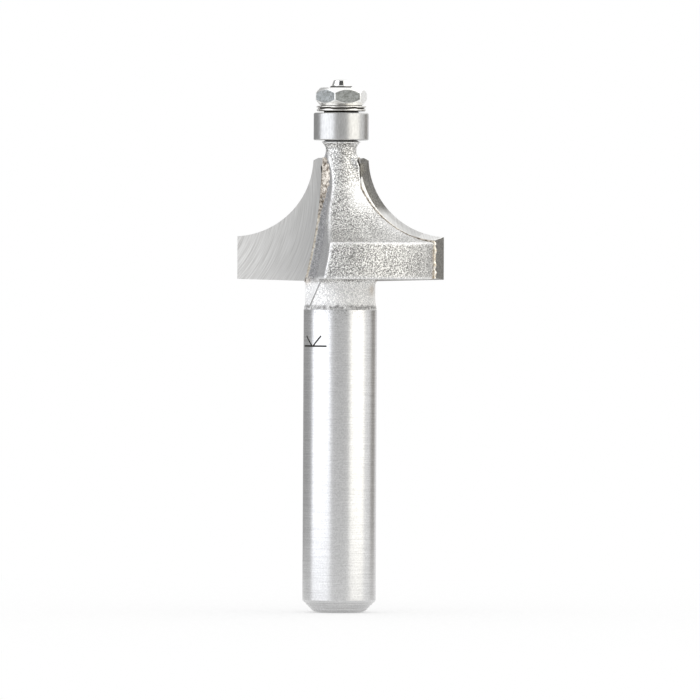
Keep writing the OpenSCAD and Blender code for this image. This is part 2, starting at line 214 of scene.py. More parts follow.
# Hardened ring, fine ground: brighter and sharper than the shank
def ringSteel():
    look = dict(dark="#a2a2a1", pale="#cfcfce", ring=0.12, ringStretch=0.35, roughness=0.31, ringDepth=0.0006)
    material, tree, shader, place = newMetal("ringSteel", {"Roughness": look["roughness"]})
    flat = addNode(tree, "Mapping", {"Scale": (1.0, 1.0, look["ringStretch"])}, {"Vector": place})
    rings = addNode(tree, "TexNoise", noise(look["ring"], 2.0),
                    {"Vector": flat.outputs[0]})
    color = addNode(tree, "Mix", tones(look["dark"], look["pale"]), {0: rings.outputs[0]})
    grooves = addNode(tree, "Bump", {"Strength": 1.0, "Distance": look["ringDepth"] * mm},
                      {"Height": rings.outputs[0]})
    feed(tree, shader, {"Base Color": color.outputs[2], "Normal": grooves.outputs[0]})
    return material


# Zinc-plated small hardware: grey and finely grained, brighter where it was turned and where a highlight is
# painted
def zincPlate(name, dark, pale, roughness, grainDepth=0.01, turned=None):
    look = dict(blotch=0.25, grain=0.09, grainShare=0.5, spread={"From Min": 0.36, "From Max": 0.64})
    material, tree, shader, place = newMetal(name, {"Roughness": roughness})
    blotch = addNode(tree, "TexNoise", noise(look["blotch"], 3.0), {"Vector": place})
    grain = addNode(tree, "TexNoise", noise(look["grain"], 2.0), {"Vector": place})
    both = addNode(tree, "Mix", {0: look["grainShare"]}, {2: blotch.outputs[0], 3: grain.outputs[0]})
    spread = addNode(tree, "MapRange", look["spread"], {"Value": both.outputs[0]})
    color = addNode(tree, "Mix", tones(dark, pale),
                    {0: spread.outputs[0]})
    if turned:
        cut = addNode(tree, "Attribute", {"attribute_name": "turned"})
        color = addNode(tree, "Mix", {"data_type": "RGBA", 7: linearColor(turned)},
                        {0: cut.outputs["Fac"], 6: color.outputs[2]})
    pits = addNode(tree, "Bump", {"Strength": 1.0, "Distance": grainDepth * mm},
                   {"Height": grain.outputs[0]})
    feed(tree, shader, {"Base Color": color.outputs[2], "Normal": pits.outputs[0]})
    return material


# Pressed brass of the ball cage
def cageBrass():
    look = dict(dark="#8a6a30", pale="#b08b48", blotch=0.3, roughness=0.3)
    material, tree, shader, place = newMetal("cageBrass", {"Roughness": look["roughness"]})
    blotch = addNode(tree, "TexNoise", noise(look["blotch"], 2.0), {"Vector": place})
    color = addNode(tree, "Mix", tones(look["dark"], look["pale"]), {0: blotch.outputs[0]})
    feed(tree, shader, {"Base Color": color.outputs[2]})
    return material


steelBlasted = blastedSteel()
steelGround = groundSteel()
carbideGround = groundCarbide()
brazeSilver = silverBraze("brazeSilver", ("#6a6156", "#968e84", "#cfc8be"), lumpDepth=0.06)
# the paler braze: a thin film on the bead, and a painted glint on the string's blobs
brazeFilmAndGlint = silverBraze("brazeFilmAndGlint", ("#a89d8c", "#d3cabb", "#f1ece2"), lumpDepth=0.008)
steelRing = ringSteel()
zincNut = zincPlate("zincNut", "#666865", "#989b9b", 0.3, turned="#fbfbf9")
zincWasher = zincPlate("zincWasher", "#b3b1ac", "#e2e0dc", 0.24)
studBright = zincPlate("studBright", "#dededc", "#f2f2f0", 0.12, grainDepth=0.001)
# black: the etched mark's own colour, and painted shade in the gaps around the bearing, washers and nut
blackMarkAndShade = zincPlate("blackMarkAndShade", "#1e1d1b", "#35332f", 0.45)
shieldTin = zincPlate("shieldTin", "#8b8b8a", "#a9a9a8", 0.3)
ballSteel = zincPlate("ballSteel", "#c4c4c6", "#d4d4d6", 0.08)
brassCage = cageBrass()
print("materials made")


def linkedObject(name, data):
    piece = bpy.data.objects.new(name, data)
    bpy.context.scene.collection.objects.link(piece)
    return piece


def meshObject(name, points, faces, material, smooth=True):  # points in millimetres
    mesh = bpy.data.meshes.new(name)
    mesh.from_pydata((np.asarray(points).reshape(-1, 3) * mm).tolist(), [], faces)
    mesh.polygons.foreach_set("use_smooth", np.full(len(mesh.polygons), smooth))
    mesh.materials.append(material)
    mesh.update()
    return linkedObject(name, mesh)


@contextmanager
def skinOf(piece):  # a piece's mesh open for editing
    skin = bmesh.new()
    skin.from_mesh(piece.data)
    yield skin
    skin.to_mesh(piece.data)
    skin.free()


def faceOutwards(piece):
    with skinOf(piece) as skin:
        bmesh.ops.recalc_face_normals(skin, faces=skin.faces)


def secondFinish(piece, material, chosen):  # another material on the chosen faces
    piece.data.materials.append(material)
    piece.data.polygons.foreach_set("material_index", chosen.astype(np.int32))


def readAll(items, field, width=3, kind=np.float32):  # one field of all vertices, edges, faces or corners
    values = np.empty(len(items) * width, kind)
    items.foreach_get(field, values)
    return values.reshape(-1, width)


def addAttribute(piece, name, values, domain="POINT"):
    layer = piece.data.attributes.new(name, "FLOAT", domain)
    layer.data.foreach_set("value", values.ravel().astype(np.float32))


def gridFaces(rows, cols, wrapRows=False, wrapCols=True, first=0):
    # quads between neighbouring rows and columns of a grid of points
    index = first + np.arange(rows * cols).reshape(rows, cols)
    if wrapRows:
        index = np.vstack([index, index[:1]])
    if wrapCols:
        index = np.hstack([index, index[:, :1]])
    quads = np.stack([index[:-1, :-1], index[:-1, 1:], index[1:, 1:], index[1:, :-1]], -1)
    return quads.reshape(-1, 4).tolist()


def tubeFaces(rows, cols, first=0):  # a grid wrapped round into a tube, with a face over either end
    last = first + (rows - 1) * cols
    return gridFaces(rows, cols, first=first) + [list(range(first, first + cols))[::-1],
                                                 list(range(last, last + cols))]


def turnedPoints(radius, z, angles):  # points at these radii, heights and angles about the axis
    return np.stack([radius * np.cos(angles), radius * np.sin(angles), z + 0 * radius * angles], -1)


def closedOnAxis(points, faces, around, low, high):  # a turned grid with a fan to the axis at either end
    count = len(points)
    bottom, top = np.arange(around), count - around + np.arange(around)
    faces += np.stack([np.full(around, count), np.roll(bottom, -1), bottom], -1).tolist()
    faces += np.stack([np.full(around, count + 1), top, np.roll(top, -1)], -1).tolist()
    return np.vstack([points, [[0, 0, low], [0, 0, high]]]), faces


def roundedProfile(corners, steps=5, closed=False):
    # each corner (r, z, reach) is cut back by its reach and bridged with a parabola, with a point beside
    # each end that keeps the shading of the straight part flat
    beside = 1.3
    spots = np.array([c[:2] for c in corners], float)
    made = []
    for i, reach in enumerate(c[2] for c in corners):
        here = spots[i]
        if not closed and i in (0, len(corners) - 1) or reach == 0:
            made.append(here[None])
            continue
        back, ahead = spots[i - 1] - here, spots[(i + 1) % len(spots)] - here
        back, ahead = back / np.linalg.norm(back), ahead / np.linalg.norm(ahead)
        t = np.linspace(0, 1, steps + 1)[:, None]
        arc = here + reach * (back * (1 - t) ** 2 + ahead * t ** 2)
        made.append(np.vstack([here + back * reach * beside, arc, here + ahead * reach * beside]))
    return np.vstack(made)


def turnedPiece(name, profile, material, around=256, closed=False):
    # the profile (r, z) turned about the axis; an open one starts and ends on the axis
    rows = profile if closed else profile[1:-1]
    angles = np.linspace(0, 2 * np.pi, around, endpoint=False)
    points = turnedPoints(rows[:, :1], rows[:, 1:], angles).reshape(-1, 3)
    faces = gridFaces(len(rows), around, wrapRows=closed)
    if not closed:
        points, faces = closedOnAxis(points, faces, around, profile[0, 1], profile[-1, 1])
    return meshObject(name, points, faces, material)


def mergedCopy(node, name, material):  # a CAD node's loose triangles joined into one skin, on a new piece
    mesh = nodes[node].data.copy()
    mesh.name = name
    mesh.materials.clear()
    mesh.materials.append(material)
    piece = linkedObject(name, mesh)
    with skinOf(piece) as skin:
        bmesh.ops.remove_doubles(skin, verts=skin.verts, dist=0.0005 * mm)
    return piece


def sliceAway(piece, place, normal):  # keeps what lies behind the plane and closes the cut
    with skinOf(piece) as skin:
        cut = bmesh.ops.bisect_plane(skin, geom=skin.verts[:] + skin.edges[:] + skin.faces[:],
                                     plane_co=Vector(place) * mm, plane_no=normal, clear_outer=True)
        rim = [e for e in cut["geom_cut"] if isinstance(e, bmesh.types.BMEdge)]
        bmesh.ops.holes_fill(skin, edges=rim)
        bmesh.ops.triangulate(skin, faces=skin.faces)


def remesh(piece, voxel):
    voxels = piece.modifiers.new("voxels", "REMESH")
    voxels.mode, voxels.voxel_size = "VOXEL", voxel * mm
    graph = bpy.context.evaluated_depsgraph_get()
    finished = bpy.data.meshes.new_from_object(piece.evaluated_get(graph))
    piece.modifiers.clear()
    piece.data = finished
    finished.polygons.foreach_set("use_smooth", np.ones(len(finished.polygons), bool))


def neighbourMean(values, pairs):  # mean of each point's neighbours along the edges
    count = np.bincount(pairs.ravel(), minlength=len(values))
    total = np.zeros_like(values)
    for k in range(values.shape[1]):
        total[:, k] = (np.bincount(pairs[:, 0], values[pairs[:, 1], k], len(values))
                       + np.bincount(pairs[:, 1], values[pairs[:, 0], k], len(values)))
    return total / np.maximum(count, 1)[:, None]


def halfTurned(points):  # wing A is wing B turned half round the axis
    return np.asarray(points) * [-1, -1, 1]


def turnedAbout(x, y, z, turn):  # points turned about the axis, in radians
    return np.stack([x * np.cos(turn) - y * np.sin(turn), x * np.sin(turn) + y * np.cos(turn), z], -1)


def smoothStep(values, low, high):
    t = np.clip((values - low) / (high - low), 0, 1)
    return t * t * (3 - 2 * t)


def riseAndFall(values, start, full, fading, gone):
    return smoothStep(values, start, full) * (1 - smoothStep(values, fading, gone))


def bell(values, width):
    return np.exp(-(values / width) ** 2)


def strongestPatch(points, patches):  # round patches, each with its middle, size and share
    return np.max([share * np.exp(-(((points - middle) / size) ** 2).sum(1))
                   for middle, size, share in patches], 0)


# The pieces: each has its settings in s, lengths in millimetres and angles in degrees, apart from wallDrawn's
# turn and brazeBead's maxTurn, which are in radians

# Steel profile of the head: its radius at a height, from the band over the cove to the cone
def steelRadius(z):
    s = dict(band=8.2, coveX=9.141, coveZ=39.25, coveR=7.28, coneX=2.198, coneZ=37.06, slope=0.3153)
    inCove = np.sqrt(np.maximum(s["coveR"] ** 2 - (np.minimum(z, s["coveZ"]) - s["coveZ"]) ** 2, 0))
    cove = np.minimum(s["coveX"] - inCove, s["band"])
    return np.where(z > s["coneZ"], s["coneX"] - s["slope"] * (z - s["coneZ"]), cove)


# Inner edge of tip B at a height: an arc about the gullet cutter's centre
def seamLine(z):
    s = dict(x=45.63, z=40.0, r=44.0)
    return s["x"] - np.sqrt(s["r"] ** 2 - (z - s["z"]) ** 2)


# Far edge of gullet B at a height, where its wall meets the outer skin
def wallEdge(z):
    s = dict(heights=[28.0, 29.0, 31.8, 33.6, 35.7, 37.2, 38.5, 39.4, 40.0, 40.4],
             reach=[1.95, 1.35, 0.98, 1.02, 0.86, 0.73, 0.82, 1.05, 1.25, 1.5])
    return np.interp(z, s["heights"], s["reach"])


def creaseLine(z):  # where gullet B runs out on the neck
    s = dict(x=1.67, z=28.85, slope=0.43)
    return s["x"] + s["slope"] * (s["z"] - z)


def wallDrawn(points):  # the gullets' far edges drawn a little towards the tips, most at mid height
    s = dict(heights=[30.5, 32.3, 33.9, 35.0, 35.7, 36.5, 37.4, 38.3, 39.1, 40.2],
             pull=[0, 0.11, 0.24, 0.2, 0.12, 0.04, 0.04, 0.11, 0.18, 0], width=0.35, off=(0.35, 0.8),
             neck=(25.9, 26.5, 28.5, 28.84), neckOff=0.3, turn=0.1, beside=0.3, turnWidth=0.45)
    x, y, z = points.T
    side = np.where(y > 0, 1, -1)
    near = bell(x * side - wallEdge(z), s["width"]) * smoothStep(np.abs(y), *s["off"])
    # on the neck the crease is turned about the axis instead, away from the tip
    onNeck = riseAndFall(z, *s["neck"]) * (np.abs(y) > s["neckOff"])
    turn = s["turn"] * onNeck * bell(x * side - creaseLine(z) - s["beside"], s["turnWidth"]) * (x * side > 0)
    x = x + side * np.interp(z, s["heights"], s["pull"]) * near
    return turnedAbout(x, y, z, turn)


# Web of steel behind the top of each tip: a low triangle drawn up along the cone
def addWebs(piece):
    s = dict(heights=[36.4, 37.2, 38.0, 38.6, 39.0, 39.3], reach=[1.70, 1.80, 1.77, 1.71, 1.58, 1.25],
             sunk=0.02, root=(0.2, -1.1), front=-1.42, back=-1.5, lean=0.1, coneSpot=(0.52, -0.854))
    heights, reach = np.array(s["heights"]), np.array(s["reach"])
    cone = steelRadius(heights) - s["sunk"]
    onCone = [share * cone for share in s["coneSpot"]]
    rows = [np.stack([x + 0 * cone, y + 0 * cone, heights], -1)
            for x, y in (s["root"], (reach, s["front"]), (reach - s["lean"], s["back"]), onCone)]
    web = np.stack(rows, 1).reshape(-1, 3)
    faces = gridFaces(len(heights), 4) + [[0, 1, 2, 3], [len(web) - i for i in (1, 2, 3, 4)]]
    with skinOf(piece) as skin:
        for points in (web, halfTurned(web)):
            spots = [skin.verts.new(p) for p in (points * mm).tolist()]
            for face in faces:
                skin.faces.new([spots[i] for i in face])
        bmesh.ops.recalc_face_normals(skin, faces=skin.faces)


# What the head's colour follows at each point: worn edges, the paler neck and painted highlights, the
# gullets' grey with painted shade, dark specks and painted shade in the crease, and flux stain
def headMarks(points, normals, bulgeWear, dice):
    s = dict(tipRim=7.9, gullet=(28.2, 29.2, 39.5, 40.1), blend=(-0.06, 0.14), off=0.02, share=0.64,
             faceShare=0.1, facing=(0.15, 0.6), band=(28.8, 29.2, 31.7, 32.1), bandShare=0.17,
             neck=(28.3, 28.8), neckPale=0.6, leastWear=0.35, darkBelt=(26.2, 26.3, 26.52, 26.62),
             darkBeltShare=0.95, darkBeltGap=0.55, crease=(26.4, 26.7, 28.6, 28.8), creaseOff=0.5, creaseShare=0.9,
             lip=(0.07, 0.08), line=(-0.05, 0.05), leastStain=0.6, stainSpread=0.8)
    # painted highlights: pale patches, with less speckle, on the outer side of each wing's root
    highlightPatches = (((1.7, -1.9, 36.0), 1.3, 0.6), ((4.6, -2.0, 33.6), 1.5, 0.4))
    # flux stains: a brown patch at each wing's root and at the foot of each braze line
    fluxStains = (((2.75, -1.3, 27.9), 0.45, 0.3), ((8.0, -1.6, 29.2), 0.5, 0.6),
                  ((7.9, -1.6, 30.8), 0.6, 0.4), ((3.0, 0.2, 28.7), 0.3, 0.6))
    x, y, z = points.T
    onWing = np.stack([np.abs(x), np.where(x > 0, y, -y), z], -1)  # both wings folded onto wing B
    facing = np.where(y > 0, normals[:, 1], -normals[:, 1])
    x, y = np.where(y > 0, x, -x), np.abs(y)  # both gullets folded onto gullet B
    # gullets: the skin between a tip's inner edge and the wall's far edge, on the open side of either wing,
    # greyed, partly as painted shade of the deep corner, and a little more where the skin faces out of the
    # gullet
    farEdge = wallDrawn(np.stack([wallEdge(z), 1 + 0 * z, z], -1))[:, 0]
    greyAndShade = (1 - smoothStep(farEdge - x, *s["blend"])) * (x > 0) * (x < s["tipRim"])
    greyAndShade *= smoothStep(y, -s["off"], s["off"]) * riseAndFall(z, *s["gullet"])
    greyAndShade *= s["share"] + s["faceShare"] * smoothStep(facing, *s["facing"])
    # the band a little greyer as well
    greyAndShade = np.maximum(greyAndShade, s["bandShare"] * riseAndFall(z, *s["band"]))
    neck = 1 - smoothStep(z, *s["neck"])
    wearAndHighlight = bulgeWear * (s["leastWear"] + (1 - s["leastWear"]) * dice.random(len(points)))
    # the neck paler all over, and the painted highlight patches
    wearAndHighlight = np.maximum(np.maximum(wearAndHighlight, s["neckPale"] * neck), strongestPatch(onWing, highlightPatches))
    # a belt of dark specks just above the head's foot
    darkSpecksAndShade = s["darkBeltShare"] * riseAndFall(z, *s["darkBelt"]) * (dice.random(len(points)) > s["darkBeltGap"])
    # crease where the gullet runs out on the neck: a painted highlight on its lip, with a line of painted
    # shade beside it
    onNeck = s["creaseShare"] * riseAndFall(z, *s["crease"]) * (y > s["creaseOff"])
    off = x - creaseLine(z)
    wearAndHighlight = np.maximum(wearAndHighlight, onNeck * bell(off - s["lip"][0], s["lip"][1]))
    darkSpecksAndShade = np.maximum(darkSpecksAndShade, onNeck * bell(off - s["line"][0], s["line"][1]))
    stain = s["leastStain"] + s["stainSpread"] * dice.random(len(points))
    stain = strongestPatch(onWing, fluxStains) * stain
    return dict(wearAndHighlight=wearAndHighlight, greyAndShade=greyAndShade, darkSpecksAndShade=darkSpecksAndShade, stain=stain, dull=np.maximum(greyAndShade, neck))


# Blasted head: the CAD body above the shank, with its edges worn round by the grit
def blastedHead():
    s = dict(foot=26.12, top=41.0, voxel=0.1, rounds=5, relax=0.5, pits=0.006, wearAt=0.1, seed=11)
    piece = mergedCopy("cutter_body", "blastedHead", steelBlasted)
    sliceAway(piece, (0, 0, s["foot"]), (0, 0, -1))
    sliceAway(piece, (0, 0, s["top"]), (0, 0, 1))
    addWebs(piece)
    remesh(piece, s["voxel"])
    points = readAll(piece.data.vertices, "co").astype(float)
    pairs = readAll(piece.data.edges, "vertices", 2, np.int32)
    for _ in range(s["rounds"]):
        points += s["relax"] * (neighbourMean(points, pairs) - points)
    points = wallDrawn(points / mm) * mm
    piece.data.vertices.foreach_set("co", points.ravel())
    piece.data.update()
    normals = readAll(piece.data.vertex_normals, "vector").astype(float)
    bulge = -((neighbourMean(points, pairs) - points) * normals).sum(1, keepdims=True) / (s["voxel"] * mm)
    bulgeWear = neighbourMean(np.clip(bulge / s["wearAt"], 0, 1), pairs)[:, 0]
    dice = np.random.default_rng(s["seed"])
    pits = dice.normal(0, s["pits"] * mm, (len(points), 1))
    points += normals * neighbourMean(pits, pairs)
    piece.data.vertices.foreach_set("co", points.ravel())
    marks = headMarks(points / mm, normals, bulgeWear, dice)
    for name in ("darkSpecksAndShade", "stain"):
        marks[name] = neighbourMean(marks[name][:, None], pairs)
    for name, values in marks.items():
        addAttribute(piece, name, values)
    piece.data.update()
    print("blasted head:", len(piece.data.polygons), "faces")
    return piece


# Ground shank: straight, with a chamfered and slightly crowned end
def groundShank():
    s = dict(radius=3.175, length=26.2, chamfer=0.93, flat=1.8, crown=0.12, inside=2.7, endStep=0.02,
             ridges=3.5, ridge=0.014, ridged=(0.1, 0.9), ridgePoints=37)
    r, c = s["radius"], s["chamfer"]
    # the chamfer keeps the ridges of the facing tool: its points swing in and out along its slope
    start, end = s["ridged"]
    t = np.linspace(start, end, s["ridgePoints"])
    swing = s["ridge"] * np.sin(2 * np.pi * s["ridges"] * (t - start) / (end - start))
    ridges = [(r - c + c * a + b, s["crown"] + c * a - b, 0) for a, b in zip(t, swing)]
    top = s["length"] + s["endStep"]
    profile = roundedProfile([(0, 0, 0), (s["flat"], 0, 0.1), (r - c, s["crown"], 0.08), *ridges,
                              (r, s["crown"] + c, 0.06), (r, s["length"], 0.04), (s["inside"], top, 0),
                              (0, top, 0)])
    return turnedPiece("groundShank", profile, steelGround)


# Arbor above the flange: land, journal and a threaded stud with a bright turned point
def threadedArbor():
    s = dict(foot=40.6, land=1.42, landTop=40.83, journal=1.18, journalTop=43.11, stud=0.98, step=0.01,
             neck=0.05, pitch=0.4, depth=0.16, threadFoot=43.21, threadTop=45.42, flank=1.25, crest=0.1,
             around=128, rowsPerMm=50, dark=((0, 43.31), (45.17, 45.5)))
    point = [(0.95, 45.5, 0.02), (0.83, 45.56, 0.03), (0.66, 46.02, 0.05), (0.3, 46.1, 0.05), (0, 46.09, 0)]
    low = np.array([[s["foot"], s["land"]], [s["landTop"], s["land"]],
                    [s["landTop"] + s["step"], s["journal"]], [s["journalTop"], s["journal"]],
                    [s["journalTop"] + s["neck"], s["stud"]]])
    heights = np.arange(s["threadFoot"], s["threadTop"], 1 / s["rowsPerMm"])
    angles = np.linspace(0, 2 * np.pi, s["around"], endpoint=False)
    # thread: the radius falls to the root and back once a pitch
    phase = (heights[:, None] / s["pitch"] - angles[None] / (2 * np.pi)) % 1
    thread = s["stud"] - s["depth"] * np.clip(s["flank"] * (1 - np.abs(2 * phase - 1)) - s["crest"], 0, 1)
    end = roundedProfile(point)
    radius = np.vstack([np.repeat(low[:, 1:], s["around"], 1), thread,
                        np.repeat(end[:-1, :1], s["around"], 1)])
    levels = np.concatenate([low[:, 0], heights, end[:-1, 1]])
    points = turnedPoints(radius, levels[:, None], angles).reshape(-1, 3)
    faces = gridFaces(len(radius), s["around"])
    points, faces = closedOnAxis(points, faces, s["around"], s["foot"], end[-1, 1])
    piece = meshObject("threadedArbor", points, faces, studBright)
    level = readAll(piece.data.polygons, "center")[:, 2] / mm
    # painted shade: dark inside the washers and where the thread runs out at the top of the nut
    dark = np.any([(level > low) & (level < high) for low, high in s["dark"]], 0)
    secondFinish(piece, blackMarkAndShade, dark)
    return piece


# Outer ring of the bearing, with its raceway, shield steps and honed corners
def outerRing():
    s = dict(middle=42.02, half=1.19, rim=2.38125, corner=0.08, shoulder=2.038, step=2.128, stepDepth=0.19,
             pitch=1.7856, race=0.407, racePoints=15)
    turn = math.asin(math.sqrt(s["race"] ** 2 - (s["shoulder"] - s["pitch"]) ** 2) / s["race"])
    race = [(s["pitch"] + s["race"] * math.cos(a), s["middle"] + s["race"] * math.sin(a), 0)
            for a in np.linspace(turn, -turn, s["racePoints"])]
    low, high = s["middle"] - s["half"], s["middle"] + s["half"]
    rim, corner, step, shoulder, depth = (s[k] for k in ("rim", "corner", "step", "shoulder", "stepDepth"))
    corners = [(rim - corner, low, 0.03), (rim, low + corner, 0.04), (rim, high - corner, 0.04),
               (rim - corner, high, 0.03), (step, high, 0.02), (step, high - depth, 0),
               (shoulder, high - depth, 0.01), *race, (shoulder, low + depth, 0.01), (step, low + depth, 0),
               (step, low, 0.02)]
    return turnedPiece("outerRing", roundedProfile(corners, closed=True), steelRing, closed=True)


# Hexagon nut: flats cut by a cone at each end, whose edge is a rounded arc on each flat
def hexNut():
    s = dict(foot=43.85, height=1.53, flats=4.0, face=1.81, turn=16.2, hole=0.99, sink=0.16, blend=48,
             slope=0.98, around=720, rows=110, coneEdge=(-0.035, 0.02), rubbedCorner=(0.008, 0.036),
             cornerShare=0.85, rubbedFlat=-13.8, flatShare=0.8)
    sixth = math.pi / 6
    angles = np.linspace(0, 2 * np.pi, s["around"], endpoint=False)
    levels = np.linspace(0, s["height"], s["rows"])
    # the radius is the softened smaller of the hexagon's and the cones'
    fold = (angles - math.radians(s["turn"]) + sixth) % (math.pi / 3) - sixth
    hexagon = s["flats"] / 2 / np.cos(sixth - np.abs(fold))[None]
    cone = (s["face"] + np.minimum(levels, s["height"] - levels) * s["slope"])[:, None]
    radius = -np.log(np.exp(-s["blend"] * hexagon) + np.exp(-s["blend"] * cone)) / s["blend"]
    inside = np.array([[s["hole"] + s["sink"], s["height"]], [s["hole"], s["height"] - s["sink"]],
                       [s["hole"], s["sink"]], [s["hole"] + s["sink"], 0]])
    rows = np.vstack([radius, np.repeat(inside[:, :1], s["around"], 1)])
    z = s["foot"] + np.concatenate([levels, inside[:, 1]])
    piece = meshObject("hexNut", turnedPoints(rows, z[:, None], angles),
                       gridFaces(len(rows), s["around"], wrapRows=True), zincNut)
    # bright where it was turned, with painted highlights on its corners and across one flat
    turned = np.vstack([smoothStep(hexagon - cone, *s["coneEdge"]), np.ones((len(inside), s["around"]))])
    rubbed = s["cornerShare"] * (1 - smoothStep(np.abs(fold), *s["rubbedCorner"]))
    fromFlat = np.abs((angles - math.radians(s["rubbedFlat"]) + math.pi) % (2 * math.pi) - math.pi)
    rubbed = np.maximum(rubbed, s["flatShare"] * (fromFlat < sixth))
    addAttribute(piece, "turned", np.maximum(turned, rubbed))
    return piece


# Split lock washer: two close turns of flat wire, with a wavy groove between them and one end proud
def lockWasher():
    s = dict(foot=43.34, thick=0.51, inner=1.04, outer=2.16, gapAt=196, gap=5, slant=12, around=360,
             rimPoints=9, grooveAt=0.27, grooveHalf=0.045, grooveDepth=0.2, grooveReach=0.45, lowBack=0.03,
             step=0.05, nutFace=1.77, wave=0.035, waves=((5, 0.6, 0.6), (11, 0, 0.4)), boreWall=0.1)
    span = np.radians(np.linspace(s["gapAt"] + s["gap"] / 2, s["gapAt"] + 360 - s["gap"] / 2, s["around"]))
    # section: square at the bore, with a half-round rim on each turn and the groove between
    t = np.linspace(-np.pi / 2, np.pi / 2, s["rimPoints"])
    lowHalf = (s["grooveAt"] - s["grooveHalf"]) / 2
    highHalf = (s["thick"] - s["grooveAt"] - s["grooveHalf"]) / 2
    lowRim = np.stack([s["outer"] - lowHalf * (1 - np.cos(t)) - s["lowBack"], lowHalf * (1 + np.sin(t))], -1)
    highRim = np.stack([s["outer"] - highHalf * (1 - np.cos(t)), s["thick"] - highHalf * (1 - np.sin(t))], -1)
    highRim[:, 1] -= s["step"] * np.linspace(0, 1, s["rimPoints"])
    root = [[s["outer"] - s["grooveDepth"], s["grooveAt"] + side * s["grooveHalf"] / 2] for side in (-1, 1)]
    top = [[s["nutFace"], s["thick"] - s["step"]], [s["nutFace"], s["thick"]]]
    section = np.vstack([lowRim, root, highRim, top, [[s["inner"], s["thick"]], [s["inner"], 0]]])
    lean = np.radians(s["slant"]) * (section[:, 1] / s["thick"] - 0.5)
    wave = s["wave"] * sum(np.sin(span * turns + shift) * share for turns, shift, share in s["waves"])
    inGroove = np.clip(1 - np.abs(section[:, 1] - s["grooveAt"]) / (s["grooveReach"] * s["thick"]), 0, 1)
    inGroove *= section[:, 0] > s["inner"] + s["boreWall"]
    z = s["foot"] + section[None, :, 1] + wave[:, None] * inGroove[None]
    points = turnedPoints(section[None, :, 0], z, span[:, None] - lean[None])
    count = len(section)
    faces = [face[::-1] for face in tubeFaces(len(span), count)]
    piece = meshObject("lockWasher", points, faces, zincWasher)
    # painted shade: dark in the groove, on the strips beside its root, and under the nut
    strips = (len(lowRim) - 1, len(lowRim), len(lowRim) + 1, len(section) - 4)
    number = np.arange(len(faces))
    secondFinish(piece, blackMarkAndShade, np.isin(number % count, strips) & (number < len(faces) - 2))
    return piece


# Carbide tip: the CAD shape with its edges honed, and the edge behind the flank ground back to the steel
def carbideTip(node, name):
    s = dict(hone=0.02, honeAngle=25, back=1.4, ledge=0.17, ledgeLow=32.55, ledgeHigh=38.9, ledgeAngle=20,
             fromSeam=0.05, flatAngle=0.5, bandTop=32.2, bandShare=0.83, bandLooksUp=(0.5, 0.6), coveZ=39.4,
             coveR=6.91, coveLooksUp=(0.61, 0.73), lowShare=0.2, flankBack=(-0.5, 0.65), rearBack=0.97,
             level=0.9)
    piece = mergedCopy(node, name, carbideGround)

    def onLedge(edge):
        spots = [v.co / mm for v in edge.verts]
        return all(abs(abs(p.y) - s["back"]) < 0.01 and s["ledgeLow"] < p.z < s["ledgeHigh"]
                   and abs(p.x) - seamLine(p.z) > s["fromSeam"] for p in spots)

    with skinOf(piece) as skin:
        bmesh.ops.dissolve_limit(skin, angle_limit=math.radians(s["flatAngle"]), verts=skin.verts,
                                 edges=skin.edges)
        edges = [e for e in skin.edges if onLedge(e) and e.calc_face_angle(0) > math.radians(s["ledgeAngle"])]
        bmesh.ops.bevel(skin, geom=edges, offset=s["ledge"] * mm, segments=1, affect="EDGES")
    # painted shade: the upright part of the flank is darker than the part that looks up
    normals, middles = readAll(piece.data.polygons, "normal"), readAll(piece.data.polygons, "center")
    back = normals[:, 1] * (-1 if node.endswith("b") else 1)
    least, most = s["flankBack"]
    upright = (back < most) | (back > s["rearBack"]) | (middles[:, 2] > s["ledgeHigh"] * mm)
    upright = upright & (back > least) & (normals[:, 2] < s["level"])
    # painted light along the cove: each face's corners follow it, and the higher its normal looks at that
    # height, the paler
    corners = np.array([len(p.vertices) for p in piece.data.polygons])
    index = readAll(piece.data.loops, "vertex_index", 1, np.int32)[:, 0]
    height = readAll(piece.data.vertices, "co")[index, 2] / mm
    onCove = 1 - (1 - s["lowShare"]) * smoothStep((s["coveZ"] - height) / s["coveR"], *s["coveLooksUp"])
    # on the band the painted shade falls on the faces that look up little
    onFlat = s["bandShare"] * (1 - smoothStep(normals[:, 2], *s["bandLooksUp"]))
    onBand = middles[:, 2] < s["bandTop"] * mm
    flank = np.where(np.repeat(onBand, corners), np.repeat(onFlat, corners), onCove)
    addAttribute(piece, "flank", flank * np.repeat(upright, corners), "CORNER")
    hone = piece.modifiers.new("hone", "BEVEL")
    hone.width, hone.segments = s["hone"] * mm, 1
    hone.limit_method, hone.angle_limit = "ANGLE", math.radians(s["honeAngle"])
    return piece


def lumps(u, v, seed, waves=9):  # smooth random swell on a surface: a sum of sines of random pitch, about +-1
    dice = np.random.default_rng(seed)
    total = 0 * (u + v)
    for _ in range(waves):
        a, b, c = dice.uniform(2, 11), dice.uniform(1, 9), dice.uniform(0, 2 * np.pi)
        total = total + np.sin(a * u + b * v + c)
    return total / math.sqrt(waves) / 1.4


def brazePiece(name, points, turned, onPaleBraze):  # rows of points closed into a skin, with the paler braze on some rows
    rows, count = points.shape[:2]
    faces = tubeFaces(rows, count)
    piece = meshObject(name, halfTurned(points) if turned else points, faces, brazeSilver)
    secondFinish(piece, brazeFilmAndGlint, onPaleBraze(np.arange(len(faces)) // count))
    faceOutwards(piece)
    return piece


